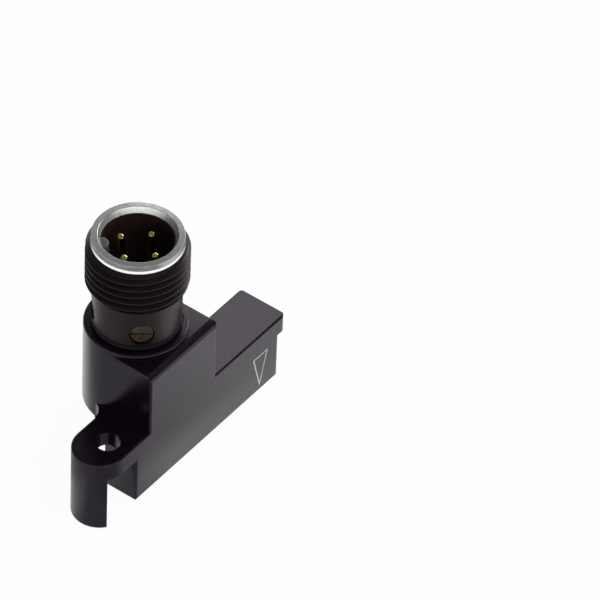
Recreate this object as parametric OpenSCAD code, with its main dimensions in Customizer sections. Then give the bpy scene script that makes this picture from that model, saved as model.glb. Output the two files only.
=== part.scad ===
// Magnetic field sensor: a moulded housing with a fixing ear and a claw, a sensor block under its
// plate, and an upright four-pin M12 plug. The origin is on the axis of the fixing hole, in the top
// face of the plate. X runs along the sensor block, Z up through the plug.

/* [Plate and ear] */
// Length of the plate from the ear's round end to its square end
plate_l = 33.75; // [31:0.05:40]
// Width of the plate
plate_w = 6.6; // [6.2:0.1:7.4]
// Thickness of the plate
plate_t = 2.4; // [1.8:0.1:3.2]
// Distance from the fixing hole's axis to the ear's round end
ear_reach = 4.3; // [3.8:0.1:5.5]
// Distance from the fixing hole's axis to the front face
hole_to_front = 2.95; // [2.7:0.05:3.4]
// Diameter of the fixing hole
hole_d = 2.9; // [2.5:0.1:3.3]
// Chamfer under the fixing hole
hole_chamfer = 0.5; // [0.2:0.1:0.8]
// Radius of the plate's top edges
plate_edge_r = 0.25; // [0.1:0.05:0.5]
// Radius of the plate's corners at its square end
plate_corner_r = 0.8; // [0.2:0.1:1.2]
// Radius between the plate's back edge and the collar
web_r = 2.0; // [1:0.1:2.6]

/* [Claw] */
// Depth of the claw's tip under the plate's top face
claw_depth = 10.2; // [7:0.05:12]
// Thickness of the claw at its middle
claw_t = 1.35; // [0.8:0.05:2]
// Radius of the claw's edges
claw_edge_r = 0.3; // [0.1:0.05:0.5]

/* [Sensor block] */
// Distance from the fixing hole's axis to the near end of the block
block_start = 1.7; // [1:0.1:2.2]
// Step from the plate's square end in to the block's far end
block_end = 1.1; // [0.5:0.1:3]
// Width of the block
block_w = 4.7; // [4.4:0.1:5.6]
// Depth of the block's underside under the plate's top face
block_depth = 9.2; // [8:0.05:11]
// Step from the plate's front face in to the block's front face
block_step = 0.15; // [0.05:0.05:0.5]
// Radius of the block's edges
block_edge_r = 0.35; // [0.1:0.05:0.6]
// Wall of the block's shell
block_wall = 0.8; // [0.6:0.05:1]
// Thickness of the cover in the block's underside
cover_t = 0.9; // [0.6:0.1:1.4]
// Width of the ledge that the cover rests on
cover_ledge = 0.3; // [0.2:0.05:0.4]

/* [Arrow mark] */
// Distance from the block's far end to the arrow's point
arrow_inset = 3.4; // [2.5:0.1:5]
// Width of the arrow
arrow_w = 2.85; // [2:0.05:3.5]
// Height of the arrow
arrow_h = 5.1; // [3.5:0.1:5.2]
// Distance from the plate's underside to the arrow's upper edge
arrow_drop = 1.0; // [0.6:0.1:1.4]
// Width of the engraved line
arrow_line = 0.22; // [0.15:0.01:0.35]
// Depth of the engraved line
arrow_cut = 0.12; // [0.05:0.01:0.2]

/* [Collar and box] */
// Distance along X from the fixing hole to the plug's axis
plug_x = 10.1; // [9.6:0.05:11]
// Distance along Y from the fixing hole to the plug's axis
plug_y = 4.0; // [3.6:0.05:4.4]
// Diameter of the collar, which is also the width of the box
collar_d = 12.2; // [12:0.1:13]
// Height of the collar's lip over the plate's top face
lip_h = 9.4; // [8.6:0.1:11]
// Inner diameter of the lip
lip_bore = 10.7; // [10.5:0.05:11]
// Depth of the seal's seat under the lip
seat_depth = 0.35; // [0.2:0.05:0.6]
// Radius of the lip's outer edge
lip_edge_r = 0.3; // [0.1:0.05:0.5]
// Height of the box over the plate's top face
box_h = 8.75; // [8:0.05:9.2]
// Radius of the box's upper front edge
box_front_r = 0.9; // [0.3:0.1:1.4]
// Radius of the box's other edges
box_edge_r = 0.3; // [0.1:0.05:0.5]

/* [Marking field] */
// Distance from the box's near edge to the field
field_inset = 1.3; // [0.8:0.1:2.5]
// Distance from the box's far edge to the field
field_margin = 0.4; // [0.3:0.1:1.5]
// Distance from the box's top to the field
field_drop = 1.1; // [1:0.1:2]
// Distance from the plate's underside to the field
field_foot = 0.3; // [0.2:0.1:1]
// Depth of the field
field_cut = 0.04; // [0.04:0.01:0.15]

/* [Plug body] */
// Major diameter of the thread
thread_d = 12; // [11.7:0.05:12]
// Height of the thread's lower end over the plate's top face
thread_foot = 15.6; // [15.4:0.1:18]
// Length of the full thread
thread_l = 5.4; // [4:0.1:7]
// Height of the run-in cone over the thread
run_in_h = 0.6; // [0.3:0.1:1]
// Diameter of the run-in cone at its small end
run_in_d = 10.66; // [10.5:0.02:11]
// Chamfer at the thread's lower end
thread_chamfer = 0.35; // [0.1:0.05:0.5]
// Diameter of the shank
shank_d = 10.4; // [10:0.1:10.6]
// Height of the shank's lower end over the lip
shank_gap = 0.65; // [0.4:0.05:0.9]
// Wall of the shank round the light guide
shank_wall = 0.8; // [0.6:0.05:1]
// Diameter of the spigot in the collar
spigot_d = 8.4; // [8:0.1:8.6]
// Bore of the spigot
spigot_bore = 7.0; // [6.6:0.1:7.2]
// Length of the spigot under the seal's seat
spigot_l = 2.2; // [1.5:0.1:3]
// Diametral clearance between spigot and collar
spigot_clear = 0.1; // [0.04:0.02:0.2]
// Thickness of the seal ring
seal_t = 1.0; // [0.8:0.05:1.05]

/* [Rim sleeve] */
// Height of the rim over the run-in cone
rim_h = 1.1; // [0.8:0.1:1.6]
// Inner diameter of the rim
rim_bore = 8.34; // [8.2:0.02:8.5]
// Radius of the rim's outer edge
rim_edge_r = 0.4; // [0.1:0.05:0.5]
// Bevel at the rim's inner edge
rim_bevel = 0.32; // [0.1:0.02:0.4]
// Depth of the bright bore under the rim's face
rim_lip = 0.75; // [0.5:0.05:1]
// Wall of the sleeve's tube
sleeve_wall = 0.3; // [0.2:0.05:0.4]
// Distance that the key stands into the mouth
key_reach = 0.9; // [0.6:0.05:1.1]
// Width of the key
key_w = 1.9; // [1.4:0.1:2.2]

/* [Contact carrier and pins] */
// Thickness of the carrier's floor
floor_t = 0.9; // [0.7:0.1:1]
// Wall of the carrier's liner
liner_wall = 0.35; // [0.25:0.05:0.45]
// Thickness of the gasket under the carrier
gasket_t = 0.3; // [0.2:0.05:0.4]
// Clearance round the key and the liner
carrier_clear = 0.04; // [0.02:0.01:0.08]
// Diameter of the pin circle
pin_circle_d = 5.0; // [4.8:0.1:5.2]
// Diameter of a pin
pin_d = 1.0; // [0.9:0.05:1.1]
// Distance of the pins' tips under the rim's face
pin_inset = 1.5; // [1:0.1:2.5]
// Diameter of a pin's tail
tail_d = 0.6; // [0.5:0.05:0.8]
// Length of a pin's tail under the connector board
tail_out = 0.5; // [0.3:0.1:0.8]

/* [Light guide] */
// Number of windows
window_n = 4; // [2:1:4]
// Diameter of a window
window_d = 2.9; // [2.4:0.1:3]
// Height of the windows' centres over the shank's lower end
window_rise = 1.75; // [1.65:0.05:2]
// Wall of the ring behind the windows
guide_wall = 0.5; // [0.3:0.05:0.6]
// Height of the ring
guide_h = 2.8; // [2.4:0.1:3.2]
// Clearance between the ring and the gasket over it
guide_gap = 0.1; // [0.05:0.05:0.3]
// Depth of a window's face under the shank's surface
window_sink = 0.25; // [0.1:0.05:0.4]
// Radial clearance round a window
window_clear = 0.12; // [0.05:0.01:0.2]

/* [Electronics] */
// Thickness of both circuit boards
board_t = 0.6; // [0.4:0.05:0.8]
// Diameter of the connector board
round_board_d = 6.8; // [6.4:0.1:6.8]
// Clearance of the main board from the block's inner walls
board_clear = 0.3; // [0.2:0.05:0.5]
// Width of the main board's neck
neck_w = 4.4; // [3.6:0.1:5]
// Height of the neck's end over the plate's top face
neck_h = 5.4; // [4.5:0.1:6]
// Side length of a light source
led_w = 0.7; // [0.5:0.05:0.8]
// Distance from the connector board's edge to a light source
led_inset = 0.1; // [0.05:0.05:0.3]
// Height of a light source
led_h = 0.45; // [0.3:0.05:0.6]
// Number of resistors
resistor_n = 5; // [3:1:6]
// Number of capacitors
capacitor_n = 4; // [2:1:5]
// Number of protection diodes
diode_n = 3; // [2:1:4]
// Diameter of a lead wire
wire_d = 0.5; // [0.35:0.05:0.55]
// Pitch of the lead wires
wire_pitch = 0.75; // [0.65:0.05:0.8]
// Distance from the plug's axis to the row of leads at the connector board
wire_row = 2.0; // [1.6:0.1:2.2]
// Height of the integrated circuits over the board
chip_t = 0.6; // [0.4:0.05:0.7]
// Height of the resistors and capacitors over the board
thin_t = 0.35; // [0.25:0.05:0.4]
// Width of the sensor chip
sensor_w = 1.8; // [1.4:0.1:2.4]
// Height of the sensor chip
sensor_l = 1.6; // [1.2:0.1:2]
// Width of the amplifier chip
amplifier_w = 3.0; // [2:0.1:4]
// Height of the amplifier chip
amplifier_l = 2.8; // [2:0.1:3.4]
// Width of the voltage regulator
regulator_w = 2.2; // [1.6:0.1:3]
// Height of the voltage regulator
regulator_l = 1.5; // [1.2:0.1:2]
// Width of the output transistor
transistor_w = 1.5; // [1.2:0.1:2]
// Height of the output transistor
transistor_l = 2.2; // [1.6:0.1:3]
// Width of a diode
diode_w = 1.6; // [1.2:0.1:2]
// Height of a diode
diode_l = 0.8; // [0.6:0.05:0.9]
// Width of a resistor
resistor_w = 1.0; // [0.6:0.1:1.6]
// Height of a resistor
resistor_l = 0.5; // [0.3:0.05:0.55]
// Width of a capacitor
capacitor_w = 0.5; // [0.3:0.05:0.8]
// Height of a capacitor
capacitor_l = 1.0; // [0.6:0.1:1.6]
// Gap between neighbours on the main board
part_gap = 0.4; // [0.3:0.05:0.6]

/* [Hidden] */
$fn = 64;
eps = 0.01;
pin_n = 4;
wire_n = 4;

// Plate and ear
front_y = -hole_to_front;
back_y = front_y + plate_w;
ear_r = plate_w / 2;
ear_x = ear_r - ear_reach;
ear_y = front_y + ear_r;
end_x = plate_l - ear_reach;

// Collar and box
collar_r = collar_d / 2;
box_x0 = plug_x - collar_r;
box_x1 = plug_x + collar_r;
seat_z = lip_h - seat_depth;
spigot_r = spigot_d / 2;
collar_bore_r = spigot_r + spigot_clear / 2;
spigot_z = seat_z - spigot_l;

// Fillet between plate and collar, sunk into both by a hair so that the faces cross cleanly
web_sink = 0.01;
web_y = back_y + web_r - web_sink;
web_dx = sqrt(pow(collar_r + web_r - web_sink, 2) - pow(web_y - plug_y, 2));

// Sensor block
block_x1 = end_x - block_end;
block_y0 = front_y + block_step;
block_y1 = block_y0 + block_w;
room_x0 = block_start + block_wall;
room_x1 = block_x1 - block_wall;
room_y0 = block_y0 + block_wall;
room_y1 = block_y1 - block_wall;
cover_z = cover_t - block_depth;

// Plug levels over the plate's top face
shank_z = lip_h + shank_gap;
thread_z = thread_foot + thread_l;
cone_z = thread_z + run_in_h;
rim_z = cone_z + rim_h;
window_z = shank_z + window_rise;
guide_z = window_z - guide_h / 2;
ledge_z = guide_z + guide_h + guide_gap;
carrier_z = ledge_z + gasket_t;
mouth_z = carrier_z + floor_t;

// Plug radii
shank_r = shank_d / 2;
guide_r = shank_r - shank_wall;
sleeve_r0 = rim_bore / 2 + liner_wall + carrier_clear;
sleeve_r1 = sleeve_r0 + sleeve_wall;
liner_z = rim_z - rim_lip;
key_r = rim_bore / 2 - key_reach;
key_a = 135;

// Boards
round_z = window_z - board_t / 2;
board_y1 = room_y1 - board_clear - wire_d - board_clear;
board_y0 = board_y1 - board_t;
board_x0 = room_x0 + board_clear;
board_x1 = room_x1 - board_clear;
board_z0 = cover_z + board_clear;
board_z1 = -plate_t - board_clear;
channel_w = neck_w + 2 * board_clear;
channel_y0 = board_y0 - 2 * board_clear;
wire_y = board_y1 + wire_d / 2;
wire_top_y = plug_y - wire_row;
wire_lap = 1.5;
wire_rise = 0.6;
board_mid_z = (board_z0 + board_z1) / 2;
low_row_z = board_z0 + part_gap;
transistor_x = plug_x + neck_w / 2 + transistor_w;
fill_z = spigot_z;

black = "#17151a";
gold = "#c9a24a";
green = "#1d5c38";

// A rectangle from (x0, y0) to (x1, y1) with round corners.
module round_rect(x0, y0, x1, y1, r) {
    translate([x0 + r, y0]) square([x1 - x0 - 2 * r, y1 - y0]);
    translate([x0, y0 + r]) square([x1 - x0, y1 - y0 - 2 * r]);
    for (x = [x0 + r, x1 - r], y = [y0 + r, y1 - r]) translate([x, y]) circle(r);
}

// A block with its edges rounded along all three directions.
module round_block(x0, y0, z0, x1, y1, z1, r) {
    intersection() {
        translate([0, 0, z0]) linear_extrude(z1 - z0) round_rect(x0, y0, x1, y1, r);
        translate([0, y1, 0]) rotate([90, 0, 0])
            linear_extrude(y1 - y0) round_rect(x0, z0, x1, z1, r);
        translate([x0, 0, 0]) rotate([90, 0, 90])
            linear_extrude(x1 - x0) round_rect(y0, z0, y1, z1, r);
    }
}

// A plain box between two corners.
module corner_box(x0, y0, z0, x1, y1, z1) {
    translate([x0, y0, z0]) cube([x1 - x0, y1 - y0, z1 - z0]);
}

// A ring turned round Z with inner and outer radius, from z0 to z1.
module ring(r0, r1, z0, z1) {
    rotate_extrude() translate([r0, z0]) square([r1 - r0, z1 - z0]);
}

// A disc whose upper or lower outer edge is rounded.
module soft_disc(r, z0, z1, top_r, foot_r) {
    rotate_extrude() intersection() {
        translate([0, z0]) square([r, z1 - z0]);
        union() {
            translate([0, z0 + foot_r]) square([r, z1 - z0 - top_r - foot_r]);
            translate([0, z0]) square([r - max(top_r, foot_r), z1 - z0]);
            if (top_r > 0) translate([r - top_r, z1 - top_r]) circle(top_r);
            if (foot_r > 0) translate([r - foot_r, z0 + foot_r]) circle(foot_r);
        }
    }
}

module at_plug() {
    translate([plug_x, plug_y, 0]) children();
}

// The flat plate with its round ear.
module plate() {
    intersection() {
        union() {
            translate([ear_x, ear_y, 0]) soft_disc(ear_r, -plate_t, 0, plate_edge_r, 0);
            translate([ear_x, 0, 0]) rotate([90, 0, 90]) linear_extrude(end_x - ear_x) {
                translate([front_y, -plate_t]) square([plate_w, plate_t - plate_edge_r]);
                translate([front_y + plate_edge_r, -plate_t])
                    square([plate_w - 2 * plate_edge_r, plate_t]);
                for (y = [front_y + plate_edge_r, back_y - plate_edge_r])
                    translate([y, -plate_edge_r]) circle(plate_edge_r);
            }
        }
        translate([0, 0, -plate_t]) linear_extrude(plate_t) plate_outline();
        translate([0, back_y, 0]) rotate([90, 0, 0]) linear_extrude(plate_w) plate_side();
    }
}

// The plate from above: only the corners at its square end are cut.
module plate_outline() {
    translate([-ear_reach, front_y]) square([plate_l - plate_corner_r, plate_w]);
    round_rect(0, front_y, end_x, back_y, plate_corner_r);
}

// The plate from the front: its square end has round edges.
module plate_side() {
    translate([-ear_reach, -plate_t]) square([plate_l - plate_corner_r, plate_t]);
    round_rect(0, -plate_t, end_x, 0, plate_edge_r);
}

// One fillet patch between plate and collar, on the side given by its sign.
module web(side) {
    web_x = plug_x + side * web_dx;
    translate([0, 0, -plate_t]) linear_extrude(plate_t) difference() {
        polygon([[web_x, ear_y], [plug_x, ear_y], [plug_x, plug_y], [web_x, web_y]]);
        translate([web_x, web_y]) circle(web_r);
    }
}

// The claw is the ear's round end carried down, with a flat inner face.
module claw() {
    intersection() {
        translate([ear_x, ear_y, 0]) soft_disc(ear_r, -claw_depth, -plate_t / 2, 0, claw_edge_r);
        translate([0, 0, -claw_depth]) linear_extrude(claw_depth)
            round_rect(-ear_reach - ear_r, front_y - ear_r, claw_t - ear_reach, back_y + ear_r,
                       claw_edge_r / 2);
    }
}

module collar() {
    at_plug() soft_disc(collar_r, -plate_t, lip_h, lip_edge_r, lip_edge_r);
}

// The raised box in front of the collar, with a large radius on its upper front edge.
module front_box() {
    intersection() {
        translate([box_x0, 0, 0]) rotate([90, 0, 90]) linear_extrude(collar_d) {
            translate([front_y, -plate_t / 2])
                square([plug_y - front_y, box_h + plate_t / 2 - box_front_r]);
            translate([front_y + box_front_r, -plate_t / 2])
                square([plug_y - front_y - box_front_r, box_h + plate_t / 2]);
            translate([front_y + box_front_r, box_h - box_front_r]) circle(box_front_r);
        }
        translate([0, 0, -plate_t]) linear_extrude(box_h + plate_t)
            round_rect(box_x0, front_y, box_x1, plug_y + collar_r, box_edge_r);
        translate([0, plug_y, 0]) rotate([90, 0, 0]) linear_extrude(plug_y - front_y)
            round_rect(box_x0, -plate_t, box_x1, box_h, box_edge_r);
    }
}

// The shallow bare field on the front of box and plate.
module marking_field() {
    corner_box(box_x0 + field_inset, front_y - 1, field_foot - plate_t,
               box_x1 - field_margin, front_y + field_cut, box_h - field_drop);
}

module arrow_outline(w, h, y) {
    polygon([[-w / 2, y], [w / 2, y], [0, y - h]]);
}

// The engraved outline of an arrow that points down to the sensing element.
module arrow_mark() {
    slope = sqrt(pow(arrow_w / 2, 2) + pow(arrow_h, 2));
    inset_w = arrow_w - 2 * arrow_line * (slope + arrow_w / 2) / arrow_h;
    translate([block_x1 - arrow_inset, block_y0 + arrow_cut, -plate_t - arrow_drop])
        rotate([90, 0, 0]) linear_extrude(arrow_cut + 1) difference() {
            arrow_outline(arrow_w, arrow_h, 0);
            arrow_outline(inset_w, inset_w * arrow_h / arrow_w, -arrow_line);
        }
}

// The room in the block, open downwards until the base cover closes it.
module block_room() {
    corner_box(room_x0, room_y0, cover_z, room_x1, room_y1, -plate_t);
}

// The cover's shape, which is also its seat: the two are welded face to face.
module cover_seat() {
    translate([0, 0, -block_depth]) linear_extrude(cover_t)
        round_rect(room_x0 - cover_ledge, room_y0 - cover_ledge,
                   room_x1 + cover_ledge, room_y1 + cover_ledge, block_edge_r);
}

// The channel for the main board's neck, from the block's room up into the collar.
module neck_channel() {
    corner_box(plug_x - channel_w / 2, channel_y0, -plate_t - eps,
               plug_x + channel_w / 2, room_y1, fill_z);
    corner_box(plug_x - channel_w / 2, channel_y0, 0,
               plug_x + channel_w / 2, plug_y, fill_z);
}

module collar_bore() {
    at_plug() {
        cylinder(r = collar_bore_r, h = lip_h + 1);
        translate([0, 0, seat_z]) cylinder(d = lip_bore, h = lip_h + 1);
    }
}

module fixing_hole() {
    translate([0, 0, -plate_t - 1]) cylinder(d = hole_d, h = plate_t + 2);
    translate([0, 0, -plate_t - eps])
        cylinder(r1 = hole_d / 2 + hole_chamfer, r2 = hole_d / 2, h = hole_chamfer + eps);
}

module housing() {
    color(black) difference() {
        union() {
            plate();
            claw();
            collar();
            front_box();
            web(-1);
            web(1);
            round_block(block_start, block_y0, -block_depth, block_x1, block_y1,
                        block_edge_r - plate_t / 2, block_edge_r);
        }
        fixing_hole();
        block_room();
        cover_seat();
        neck_channel();
        collar_bore();
        marking_field();
        arrow_mark();
    }
}

module base_cover() {
    color(black) cover_seat();
}

// The shank, the threaded barrel and the spigot that fits the collar.
module connector_body() {
    color(black) at_plug() difference() {
        rotate_extrude() polygon([
            [spigot_bore / 2, spigot_z],
            [spigot_r, spigot_z],
            [spigot_r, shank_z],
            [shank_r, shank_z],
            [shank_r, thread_foot],
            [thread_d / 2 - thread_chamfer, thread_foot],
            [thread_d / 2, thread_foot + thread_chamfer],
            [thread_d / 2, thread_z],
            [run_in_d / 2, cone_z],
            [sleeve_r1, cone_z],
            [sleeve_r1, mouth_z],
            [sleeve_r0, mouth_z],
            [sleeve_r0, ledge_z],
            [guide_r, ledge_z],
            [guide_r, guide_z],
            [spigot_bore / 2, guide_z]
        ]);
        window_cutters(window_d / 2, shank_r + 1);
    }
}

// Round cutters or studs through the shank, one for each window.
module window_cutters(r, reach) {
    for (i = [0 : window_n - 1])
        rotate([0, 0, 45 + i * 360 / window_n]) translate([guide_r - guide_wall / 2, 0, window_z])
            rotate([0, 90, 0]) cylinder(r = r, h = reach - guide_r + guide_wall / 2);
}

// The key in plan is a round-nosed rib that starts in the sleeve's tube.
module key_shape(gap, z0, z1) {
    rotate([0, 0, key_a]) translate([0, 0, z0]) linear_extrude(z1 - z0) intersection() {
        circle(sleeve_r0 + sleeve_wall / 2);
        union() {
            translate([key_r + key_w / 2, 0]) circle(key_w / 2 + gap);
            translate([key_r + key_w / 2, -key_w / 2 - gap])
                square([sleeve_r1 - key_r - key_w / 2, key_w + 2 * gap]);
        }
    }
}

// The bright rim with the tube that lines the barrel and the key.
module rim_sleeve() {
    color("#b9bab8") at_plug() {
        rotate_extrude() difference() {
            union() {
                translate([rim_bore / 2, liner_z])
                    square([run_in_d / 2 - rim_edge_r - rim_bore / 2, rim_z - liner_z]);
                translate([sleeve_r0, cone_z])
                    square([run_in_d / 2 - sleeve_r0, rim_h - rim_edge_r]);
                translate([run_in_d / 2 - rim_edge_r, rim_z - rim_edge_r]) circle(rim_edge_r);
            }
            polygon([
                [rim_bore / 2 - 1, rim_z - rim_bevel - 1],
                [rim_bore / 2 + rim_bevel + 1, rim_z + 1],
                [rim_bore / 2 - 1, rim_z + 1]
            ]);
        }
        ring(sleeve_r0, sleeve_r1, mouth_z, liner_z + eps);
        key_shape(0, mouth_z, liner_z + eps);
    }
}

// The insert with its liner, cut out for the key.
module contact_carrier() {
    color("#100e12") at_plug() difference() {
        union() {
            translate([0, 0, carrier_z]) cylinder(r = sleeve_r0 - carrier_clear, h = floor_t);
            ring(rim_bore / 2, sleeve_r0 - carrier_clear, mouth_z - eps, liner_z);
        }
        key_shape(carrier_clear, mouth_z, liner_z + 1);
        pin_places() translate([0, 0, carrier_z - 1]) cylinder(d = pin_d, h = floor_t + 2);
    }
}

module pin_places() {
    for (i = [0 : pin_n - 1]) pin_place(i) children();
}

module pin_place(i) {
    rotate([0, 0, 90 + i * 360 / pin_n]) translate([pin_circle_d / 2, 0, 0]) children();
}

// One pin: domed tip, shaft through the carrier's floor and thin tail through the board.
module contact_pin(i) {
    tip_z = rim_z - pin_inset;
    foot_z = carrier_z;
    color(gold) at_plug() pin_place(i) {
        translate([0, 0, tip_z - pin_d / 2]) sphere(d = pin_d);
        translate([0, 0, foot_z]) cylinder(d = pin_d, h = tip_z - pin_d / 2 - foot_z);
        translate([0, 0, round_z - tail_out])
            cylinder(d = tail_d, h = foot_z + eps - round_z + tail_out);
    }
}

module contact_pin_1() { contact_pin(0); }
module contact_pin_2() { contact_pin(1); }
module contact_pin_3() { contact_pin(2); }
module contact_pin_4() { contact_pin(3); }

module light_guide() {
    color("#b08a3e") at_plug() {
        ring(guide_r - guide_wall, guide_r, guide_z, guide_z + guide_h);
        intersection() {
            window_cutters(window_d / 2 - window_clear, shank_r);
            ring(guide_r - guide_wall, shank_r - window_sink, guide_z - 1, guide_z + guide_h + 1);
        }
    }
}

module seal_ring() {
    color("#0b0b0c") at_plug() rotate_extrude()
        translate([spigot_r + seal_t / 2, seat_z + seal_t / 2]) circle(d = seal_t);
}

module carrier_seal() {
    color("#3a3a3c") at_plug() difference() {
        translate([0, 0, ledge_z]) cylinder(r = sleeve_r0 - carrier_clear, h = gasket_t);
        pin_places() translate([0, 0, ledge_z - 1]) cylinder(d = tail_d, h = gasket_t + 2);
    }
}

module connector_board() {
    color(green) at_plug() difference() {
        translate([0, 0, round_z]) cylinder(d = round_board_d, h = board_t);
        pin_places() translate([0, 0, round_z - 1]) cylinder(d = tail_d, h = board_t + 2);
    }
}

module main_board() {
    color(green) {
        corner_box(board_x0, board_y0, board_z0, board_x1, board_y1, board_z1);
        corner_box(plug_x - neck_w / 2, board_y0, board_z1 - eps,
                   plug_x + neck_w / 2, board_y1, neck_h);
    }
}

// A part on the front of the main board, centred on x and z.
module on_board(x, z, w, l, t) {
    corner_box(x - w / 2, board_y0 - t, z - l / 2, x + w / 2, board_y0, z + l / 2);
}

// A part on the back of the main board, centred on x and z.
module behind_board(x, z, w, l, t) {
    corner_box(x - w / 2, board_y1, z - l / 2, x + w / 2, board_y1 + t, z + l / 2);
}

module sensor_chip() {
    color("#202024")
        on_board(block_x1 - arrow_inset, low_row_z + sensor_l / 2, sensor_w, sensor_l, chip_t);
}

module amplifier_chip() {
    color("#202024")
        on_board(transistor_x + part_gap + (transistor_w + amplifier_w) / 2, board_mid_z,
                 amplifier_w, amplifier_l, chip_t);
}

module voltage_regulator() {
    color("#202024") on_board(plug_x, board_mid_z, regulator_w, regulator_l, chip_t);
}

module output_transistor() {
    color("#202024") on_board(transistor_x, board_mid_z, transistor_w, transistor_l, chip_t);
}

module protection_diodes() {
    color("#2a2a2c") for (i = [0 : diode_n - 1])
        on_board(board_x0 + part_gap + diode_w / 2,
                 low_row_z + diode_l / 2 + i * (diode_l + part_gap), diode_w, diode_l, chip_t);
}

module resistors() {
    color("#1b1b1d") for (i = [0 : resistor_n - 1])
        on_board(board_x0 + 3 * part_gap + diode_w + resistor_w / 2,
                 low_row_z + resistor_l / 2 + i * (resistor_l + part_gap),
                 resistor_w, resistor_l, thin_t);
}

module capacitors() {
    color("#8d7354") for (i = [0 : capacitor_n - 1])
        behind_board(transistor_x + i * (capacitor_w + 2 * part_gap), board_mid_z,
                     capacitor_w, capacitor_l, thin_t);
}

module indicator_leds() {
    color("#e2d9a0") at_plug() for (i = [0 : window_n - 1])
        rotate([0, 0, 45 + i * 360 / window_n])
            translate([round_board_d / 2 - led_w - led_inset, -led_w / 2, round_z + board_t])
                cube([led_w, led_w, led_h]);
}

// One lead: up the back of the neck, across in the collar, and up to the connector board.
module lead_wire(i, tint) {
    x = plug_x + (i - (wire_n - 1) / 2) * wire_pitch;
    low = [x, wire_y, neck_h - wire_lap];
    bend_1 = [x, wire_y, neck_h + wire_rise];
    bend_2 = [x, wire_top_y, spigot_z + wire_rise];
    top = [x, wire_top_y, round_z];
    color(tint) {
        stretch(low, bend_1);
        translate(bend_1) sphere(d = wire_d);
        stretch(bend_1, bend_2);
        translate(bend_2) sphere(d = wire_d);
        stretch(bend_2, top);
    }
}

// A round rod from point a to point b, which lie in one plane of constant X.
module stretch(a, b) {
    d = b - a;
    translate(a) rotate([-atan2(d[1], d[2]), 0, 0]) cylinder(d = wire_d, h = norm(d));
}

module lead_wire_1() { lead_wire(0, "#6b4426"); }
module lead_wire_2() { lead_wire(1, "#e9e7e1"); }
module lead_wire_3() { lead_wire(2, "#27509c"); }
module lead_wire_4() { lead_wire(3, "#1a1a1a"); }

// Cast resin fills the block's room and the channel up to the spigot, round all that is in them.
module potting() {
    color("#3d3a33") difference() {
        union() {
            block_room();
            neck_channel();
            at_plug() cylinder(r = collar_bore_r, h = fill_z);
        }
        main_board();
        sensor_chip();
        amplifier_chip();
        voltage_regulator();
        output_transistor();
        protection_diodes();
        resistors();
        capacitors();
        lead_wire_1();
        lead_wire_2();
        lead_wire_3();
        lead_wire_4();
    }
}

housing();
base_cover();
connector_body();
rim_sleeve();
contact_carrier();
contact_pin_1();
contact_pin_2();
contact_pin_3();
contact_pin_4();
light_guide();
seal_ring();
carrier_seal();
connector_board();
main_board();
sensor_chip();
amplifier_chip();
voltage_regulator();
output_transistor();
protection_diodes();
resistors();
capacitors();
indicator_leds();
lead_wire_1();
lead_wire_2();
lead_wire_3();
lead_wire_4();
potting();
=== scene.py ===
# %% [markdown]
# # A magnetic field sensor with a round plug, finished in Blender
#
# The sensor is a small black moulding: a plate with an ear and a claw to clamp it to a cylinder,
# a block below the plate that holds the sensing element, and a collar that carries an upright
# four-pin plug. The construction comes from a CAD model and is loaded as it is. Blender adds what
# CAD leaves plain: the fine thread, the small windows, the turned rim and its key, the paint in
# the engraved arrow, the bare film in the marking field, and the finish of every surface.

# %% Load the construction
import math

import bmesh
import bpy
from mathutils import Matrix, Vector


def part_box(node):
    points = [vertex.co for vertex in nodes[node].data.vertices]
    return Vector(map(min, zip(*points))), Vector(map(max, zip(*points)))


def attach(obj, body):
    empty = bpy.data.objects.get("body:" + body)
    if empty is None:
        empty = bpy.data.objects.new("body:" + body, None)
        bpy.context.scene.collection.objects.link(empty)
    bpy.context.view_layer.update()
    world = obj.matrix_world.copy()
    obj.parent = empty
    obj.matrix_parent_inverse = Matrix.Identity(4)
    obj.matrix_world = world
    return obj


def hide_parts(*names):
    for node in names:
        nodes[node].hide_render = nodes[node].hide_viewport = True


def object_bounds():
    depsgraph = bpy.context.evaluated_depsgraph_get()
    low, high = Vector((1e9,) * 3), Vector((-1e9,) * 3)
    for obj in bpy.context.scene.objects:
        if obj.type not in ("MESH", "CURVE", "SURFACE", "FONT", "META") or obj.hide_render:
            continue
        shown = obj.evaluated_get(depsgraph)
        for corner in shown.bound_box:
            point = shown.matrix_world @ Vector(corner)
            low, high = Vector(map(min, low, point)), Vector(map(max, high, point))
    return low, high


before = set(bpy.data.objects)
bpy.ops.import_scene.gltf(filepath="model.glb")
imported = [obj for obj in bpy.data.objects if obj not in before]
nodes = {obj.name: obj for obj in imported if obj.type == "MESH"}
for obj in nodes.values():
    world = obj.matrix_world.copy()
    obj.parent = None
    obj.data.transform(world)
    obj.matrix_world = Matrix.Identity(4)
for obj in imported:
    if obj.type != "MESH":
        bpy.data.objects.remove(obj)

CAD_LOW, CAD_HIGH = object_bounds()
MM = 0.001
box_mm = [[round(v / MM, 2) for v in corner] for corner in (CAD_LOW, CAD_HIGH)]
print(len(nodes), "nodes, box", *box_mm)

# %% [markdown]
# ## The camera
#
# The photograph is taken with a long lens from the front left, looking down at about 44 degrees.
# A long lens shows little perspective, so the camera stands far away. The sensor lies in the left
# half of the frame, so the camera is aimed beside it. The lens isn't shifted for that, because a
# shift would stay when another view moves the camera.

# %% The camera
PLUG_X = 10.1 * MM
PLUG_Y = 4.0 * MM
IMAGE_PX = 600
FOCAL_PX = 7000
SENSOR_MM = 36
CAMERA_TURN = math.radians(54.369)
CAMERA_DROP = math.radians(43.968)
CAMERA_ROLL = math.radians(2.425)
CAMERA_DISTANCE = 802.37 * MM
AXIS_PX = (135.42, 377.81)
CLIP = (0.01, 20)


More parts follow.
